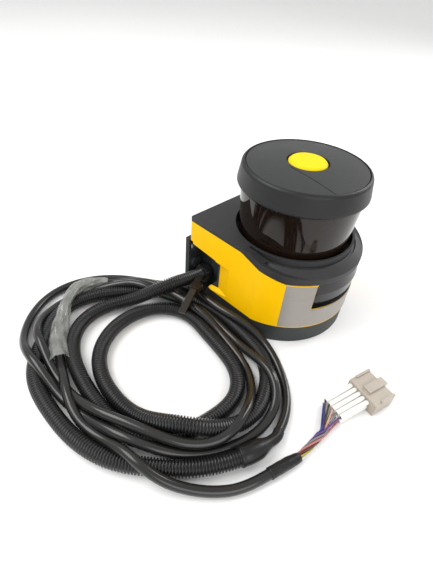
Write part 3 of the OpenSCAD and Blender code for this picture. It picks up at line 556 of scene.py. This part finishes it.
def arc_plate(name, r0, r1, z0, z1, a0, a1, steps=48):
    verts, faces = [], []
    for i in range(steps + 1):
        a = math.radians(a0 + (a1 - a0) * i / steps)
        for r, z in ((r0, z0), (r1, z0), (r1, z1), (r0, z1)):
            verts.append(Vector((r * math.sin(a), AXIS_Y - r * math.cos(a), z)))
        if i:
            q = 4 * (i - 1)
            for k in range(4):
                faces.append((q + k, q + (k + 1) % 4, q + 4 + (k + 1) % 4, q + 4 + k))
    faces += [(3, 2, 1, 0), (4 * steps, 4 * steps + 1, 4 * steps + 2, 4 * steps + 3)]
    return mesh_piece(name, verts, faces, smooth=False)


notch_shade_sheet = arc_plate("notch_gasket", HALF_W - 8.5 * MM, HALF_W - 0.35 * MM,
                   SHADE_SHEET_Z, SHADE_SHEET_Z + SHADE_SHEET_T, NOTCH_FROM, NOTCH_TO)

# ---- Bodies, and nodes stood for ----
for piece in [conduit, cable, boot, tail_sleeve, film, notch_shade_sheet] + cores + markers:
    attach(piece, "housing")
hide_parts("cable_coil", "conduit_lead")
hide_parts("cable_tail")
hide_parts("conduit_cuff")
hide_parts("tail_sleeve")
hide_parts("clear_sleeve")
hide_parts("tail_wires")
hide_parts("wire_markers")

# ---- Materials ----


def linear(rgb):
    out = []
    for c in rgb:
        c = c / 255
        out.append(c / 12.92 if c <= 0.04045 else ((c + 0.055) / 1.055) ** 2.4)
    return out


def material(name, rgb, rough=0.5, metal=0.0, vary=0.06, grain=2200, bump=0.15, edge_highlight=0.25,
             bevel=0.35, coat=0.0, spec=0.35, alpha=1.0, transmission=0.0, patch=55,
             stretch=(1, 1, 1), subsurface=0.0):
    """Moulded or cast surface: clouded colour and gloss, fine grain, softened edges lightened by a painted
    highlight.
    """
    m = bpy.data.materials.new(name)
    m.use_nodes = True
    nodes, links = m.node_tree.nodes, m.node_tree.links
    b = nodes["Principled BSDF"]
    b.inputs["Metallic"].default_value = metal
    b.inputs["Coat Weight"].default_value = coat
    b.inputs["Specular IOR Level"].default_value = spec
    b.inputs["Coat Roughness"].default_value = 0.08
    b.inputs["Alpha"].default_value = alpha
    b.inputs["Transmission Weight"].default_value = transmission
    if subsurface:
        b.inputs["Subsurface Weight"].default_value = subsurface
        b.inputs["Subsurface Scale"].default_value = 0.002
    place = nodes.new("ShaderNodeTexCoord")
    scale = nodes.new("ShaderNodeMapping")
    scale.inputs["Scale"].default_value = stretch
    links.new(place.outputs["Object"], scale.inputs["Vector"])
    cloud = nodes.new("ShaderNodeTexNoise")
    cloud.inputs["Scale"].default_value = patch
    cloud.inputs["Detail"].default_value = 6
    cloud.inputs["Roughness"].default_value = 0.6
    links.new(scale.outputs["Vector"], cloud.inputs["Vector"])
    fine = nodes.new("ShaderNodeTexNoise")
    fine.inputs["Scale"].default_value = grain
    fine.inputs["Detail"].default_value = 3
    links.new(scale.outputs["Vector"], fine.inputs["Vector"])
    base = linear(rgb)
    ramp = nodes.new("ShaderNodeValToRGB")
    ramp.color_ramp.elements[0].position = 0.3
    ramp.color_ramp.elements[1].position = 0.7
    ramp.color_ramp.elements[0].color = [max(0.0, c * (1 - vary)) for c in base] + [1]
    ramp.color_ramp.elements[1].color = [min(1.0, c * (1 + vary)) for c in base] + [1]
    links.new(cloud.outputs["Fac"], ramp.inputs["Fac"])
    gloss = nodes.new("ShaderNodeMapRange")
    gloss.inputs["From Min"].default_value = 0.3
    gloss.inputs["From Max"].default_value = 0.7
    gloss.inputs["To Min"].default_value = max(0.02, rough * 0.85)
    gloss.inputs["To Max"].default_value = min(1.0, rough * 1.15)
    links.new(cloud.outputs["Fac"], gloss.inputs["Value"])
    links.new(gloss.outputs["Result"], b.inputs["Roughness"])
    colour = ramp.outputs["Color"]
    soft = None
    if bevel:
        soft = nodes.new("ShaderNodeBevel")
        soft.samples = 4
        soft.inputs["Radius"].default_value = bevel * MM
    # Painted highlight: the base colour is lightened along edges, where the bevelled normal turns away from
    # the true one.
    if edge_highlight and soft:
        sharp = nodes.new("ShaderNodeNewGeometry")
        match = nodes.new("ShaderNodeVectorMath")
        match.operation = "DOT_PRODUCT"
        links.new(soft.outputs["Normal"], match.inputs[0])
        links.new(sharp.outputs["True Normal"], match.inputs[1])
        edge_highlight_fac = nodes.new("ShaderNodeMapRange")
        edge_highlight_fac.inputs["From Min"].default_value = 0.985
        edge_highlight_fac.inputs["From Max"].default_value = 0.86
        edge_highlight_fac.inputs["To Max"].default_value = edge_highlight
        links.new(match.outputs["Value"], edge_highlight_fac.inputs["Value"])
        mix = nodes.new("ShaderNodeMix")
        mix.data_type = "RGBA"
        mix.inputs["B"].default_value = [min(1.0, c * 1.5 + 0.06) for c in base] + [1]
        links.new(edge_highlight_fac.outputs["Result"], mix.inputs["Factor"])
        links.new(colour, mix.inputs["A"])
        colour = mix.outputs["Result"]
    links.new(colour, b.inputs["Base Color"])
    relief = nodes.new("ShaderNodeBump")
    relief.inputs["Strength"].default_value = bump
    relief.inputs["Distance"].default_value = 0.05 * MM
    links.new(fine.outputs["Fac"], relief.inputs["Height"])
    if soft:
        links.new(soft.outputs["Normal"], relief.inputs["Normal"])
    links.new(relief.outputs["Normal"], b.inputs["Normal"])
    return m


def dress(name, m):
    piece = bpy.data.objects[name] if isinstance(name, str) else name
    if piece.data.materials:
        for k in range(len(piece.data.materials)):
            piece.data.materials[k] = m
    else:
        piece.data.materials.append(m)


NODE_LOOKS = {
    "lower_housing": material("base_grey", (46, 49, 50), rough=0.5, grain=3000, bump=0.2),
    "housing_shell": material("signal_yellow", (248, 192, 0), rough=0.44, vary=0.035, grain=2600,
                              bump=0.1, edge_highlight=0.35, bevel=0.45, spec=0.15),
    "front_label": material("label_silver", (155, 150, 144), rough=0.4, metal=0.25, vary=0.03,
                            bump=0.05, stretch=(1, 1, 6), bevel=0.2),
    "rear_cover": material("cover_black", (45, 46, 45), rough=0.5, grain=3200, bump=0.25),
    "front_collar": material("collar_black", (42, 42, 43), rough=0.48, grain=3200, bump=0.22, bevel=0.5),
    "indicator_band": material("indicator_grey", (34, 34, 36), rough=0.25, coat=0.15, bevel=0.4, bump=0.05),
    "display_strip": material("display_black", (22, 22, 24), rough=0.2, coat=0.3, bevel=0.4, bump=0.04),
    "optics_cover": material("optics_black", (26, 18, 13), rough=0.05, vary=0.2, spec=0.38, bump=0.0,
                             edge_highlight=0, bevel=0),
    "optics_seal": material("seal_rubber", (16, 16, 16), rough=0.8),
    "cap": material("cap_black", (26, 26, 28), rough=0.45, grain=3600, bump=0.25, bevel=0.5),
    "cap_plate": material("plate_grey", (46, 47, 47), rough=0.42, grain=3600, bump=0.22, bevel=0.4,
                          edge_highlight=0.15),
    "cap_button": material("button_yellow", (226, 204, 0), rough=0.45, vary=0.03, bump=0.1, edge_highlight=0.35,
                           bevel=0.5, spec=0.15, subsurface=0.05),
    "optics_frame": material("cast_alloy", (160, 160, 162), rough=0.5, metal=0.8),
    "motor_housing": material("motor_alloy", (140, 141, 144), rough=0.42, metal=0.85),
    "rotor_hub": material("hub_alloy", (150, 150, 155), rough=0.35, metal=0.9),
    "motor_shaft": material("shaft_steel", (196, 197, 200), rough=0.22, metal=1.0, bump=0.04),
    "encoder_disc": material("disc_steel", (208, 209, 213), rough=0.25, metal=1.0, bump=0.04),
    "encoder_reader": material("reader_black", (26, 26, 28), rough=0.45),
    "mirror_carrier": material("carrier_black", (38, 38, 40), rough=0.5),
    "scan_mirror": material("mirror_glass", (224, 230, 236), rough=0.03, metal=1.0, bump=0.0, edge_highlight=0,
                            bevel=0),
    "receiver_lens": material("lens_glass", (150, 168, 180), rough=0.04, coat=1.0, bump=0.0, edge_highlight=0,
                              bevel=0),
    "lens_barrel": material("barrel_black", (28, 28, 29), rough=0.55),
    "detector_board": material("detector_green", (18, 78, 44), rough=0.4, vary=0.15, patch=300),
    "main_board": material("board_green", (18, 78, 44), rough=0.4, vary=0.15, patch=300),
    "board_connectors": material("nylon_ivory", (218, 214, 200), rough=0.4),
    "pocket_liner": material("liner_grey", (54, 60, 61), rough=0.5, grain=3000, bump=0.2),
    "connection_block": material("block_black", (38, 40, 42), rough=0.5, grain=3000, bump=0.2),
    "connection_plate": material("plate_black", (38, 40, 42), rough=0.48, grain=3000, bump=0.22),
    "cable_gland": material("gland_black", (26, 26, 27), rough=0.3, coat=0.3),
    "gland_nut": material("nut_black", (28, 28, 29), rough=0.28, coat=0.3, bevel=0.3),
    "cable_tie": material("tie_black", (34, 28, 21), rough=0.32, vary=0.12, bump=0.06, coat=0.2),
    "tail_connector": material("plug_nylon", (190, 180, 166), rough=0.32, vary=0.05, patch=180,
                               bump=0.06, edge_highlight=0.3, bevel=0.3, transmission=0.25, subsurface=0.2),
    "connector_contacts": material("contact_brass", (206, 178, 110), rough=0.28, metal=1.0, bump=0.04),
}
steel = material("screw_steel", (186, 187, 190), rough=0.3, metal=1.0, bump=0.05)
for node in ("frame_screws", "plate_screws", "base_screws"):
    NODE_LOOKS[node] = steel
for node, look in NODE_LOOKS.items():
    dress(node, look)

dress(conduit, material("conduit_black", (27, 27, 28), rough=0.3, vary=0.1, grain=900, bump=0.05,
                        edge_highlight=0, bevel=0, coat=0.15))
dress(cable, material("sheath_black", (30, 29, 28), rough=0.24, vary=0.12, patch=30, grain=1500,
                      bump=0.08, edge_highlight=0, bevel=0, coat=0.3))
shrink = material("shrink_black", (24, 24, 25), rough=0.36, vary=0.1, grain=1300, bump=0.1, edge_highlight=0, bevel=0)
dress(boot, shrink)
dress(tail_sleeve, shrink)
# The near-black colour of the notch sheet is painted shade.
dress(notch_shade_sheet, material("painted_shade_black", (14, 14, 15), rough=0.6, bump=0.1, edge_highlight=0, bevel=0))
dress(film, material("film_clear", (168, 170, 165), rough=0.16, vary=0.25, patch=160, grain=420,
                     bump=0.35, edge_highlight=0, bevel=0, coat=0.7, alpha=0.32))
white_tube = material("marker_white", (238, 236, 230), rough=0.4, vary=0.03, patch=300, bump=0.06,
                      edge_highlight=0, bevel=0)
for piece in markers:
    dress(piece, white_tube)
for k, piece in enumerate(cores):
    look = material(f"core_colour_{k}", CORE_COLOURS[k], rough=0.34, vary=0.08, patch=240, bump=0.05,
                    edge_highlight=0, bevel=0)
    dress(piece, look)

# ---- Floor and light ----
FLOOR_HALF, FLOOR_Z = 6.0, -0.0003


def make_floor():
    r = FLOOR_HALF
    corners = [(-r, -r, 0), (r, -r, 0), (r, r, 0), (-r, r, 0)]
    floor = mesh_piece("floor", corners, [(0, 1, 2, 3)], smooth=False)
    floor.location.z = FLOOR_Z
    m = material("floor_pale", (246, 246, 245), rough=0.7, vary=0.006, patch=3, bump=0.0, edge_highlight=0, bevel=0)
    floor.data.materials.append(m)


def area(name, at, aim, size, watts, colour=(1, 1, 1)):
    data = bpy.data.lights.new(name, "AREA")
    data.shape = "RECTANGLE"
    data.size, data.size_y = size
    data.energy = watts
    data.color = colour
    lamp = bpy.data.objects.new(name, data)
    lamp.location = at
    lamp.rotation_mode = "QUATERNION"
    lamp.rotation_quaternion = (Vector(aim) - Vector(at)).to_track_quat("-Z", "Y")
    scene.collection.objects.link(lamp)


make_floor()
world = bpy.data.worlds.new("studio")
world.use_nodes = True
world.node_tree.nodes["Background"].inputs["Color"].default_value = (1.0, 1.0, 1.0, 1)
world.node_tree.nodes["Background"].inputs["Strength"].default_value = 0.75
scene.world = world
area("key", (-0.5, 0.5, 1.0), (-0.05, 0, 0.05), (0.9, 0.6), 9)
area("front_fill", (-0.5, -0.9, 0.6), (-0.05, 0, 0.04), (0.8, 0.8), 5)
area("right_strip", (0.9, -0.2, 0.7), (0, 0, 0.05), (0.3, 0.9), 5)
scene.view_settings.view_transform = "Standard"
scene.view_settings.look = "None"
